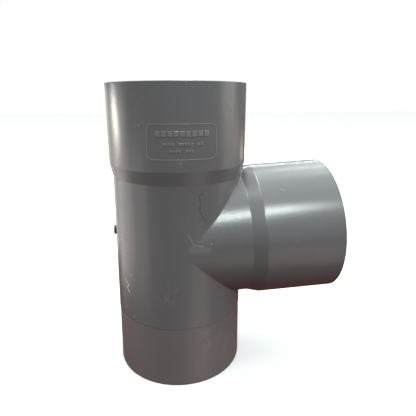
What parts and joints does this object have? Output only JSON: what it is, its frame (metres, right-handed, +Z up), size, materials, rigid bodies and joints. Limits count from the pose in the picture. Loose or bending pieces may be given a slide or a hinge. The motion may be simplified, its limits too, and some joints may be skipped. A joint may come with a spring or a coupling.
{
  "type": "pvc tee fitting",
  "caption": "Swept-in 87.5 degree drainage tee in grey PVC: a straight run with a plain spigot below and a socket above, and a side socket that rises slightly.",
  "frame": {"origin": "centre of the spigot's end face, on the run's axis", "axes": "+Z up the run from the spigot to the socket's mouth; +X to the side where the branch leaves, rising 2.5 degrees; -Y is the side with the raised marking"},
  "size_m": [0.1934, 0.1175, 0.2477],
  "materials": {
    "pvc_run": "semi-gloss moulded grey",
    "pvc_branch": "semi-gloss moulded grey",
    "pvc_spigot": "satin moulded grey, lightly scuffed",
    "pvc_marking": "semi-gloss moulded grey, raised",
    "pvc_gate": "dark cut face of the injection gate"
  },
  "bodies": {
    "root": {"spigot": "pvc_spigot", "run_barrel": "pvc_run", "run_taper": "pvc_run", "run_socket": "pvc_run", "branch_neck": "pvc_branch", "branch_taper": "pvc_branch", "branch_socket": "pvc_branch", "gate_stub": "pvc_gate", "marking_frame": "pvc_marking", "marking_bars": "pvc_marking"}
  },
  "joints": []
}
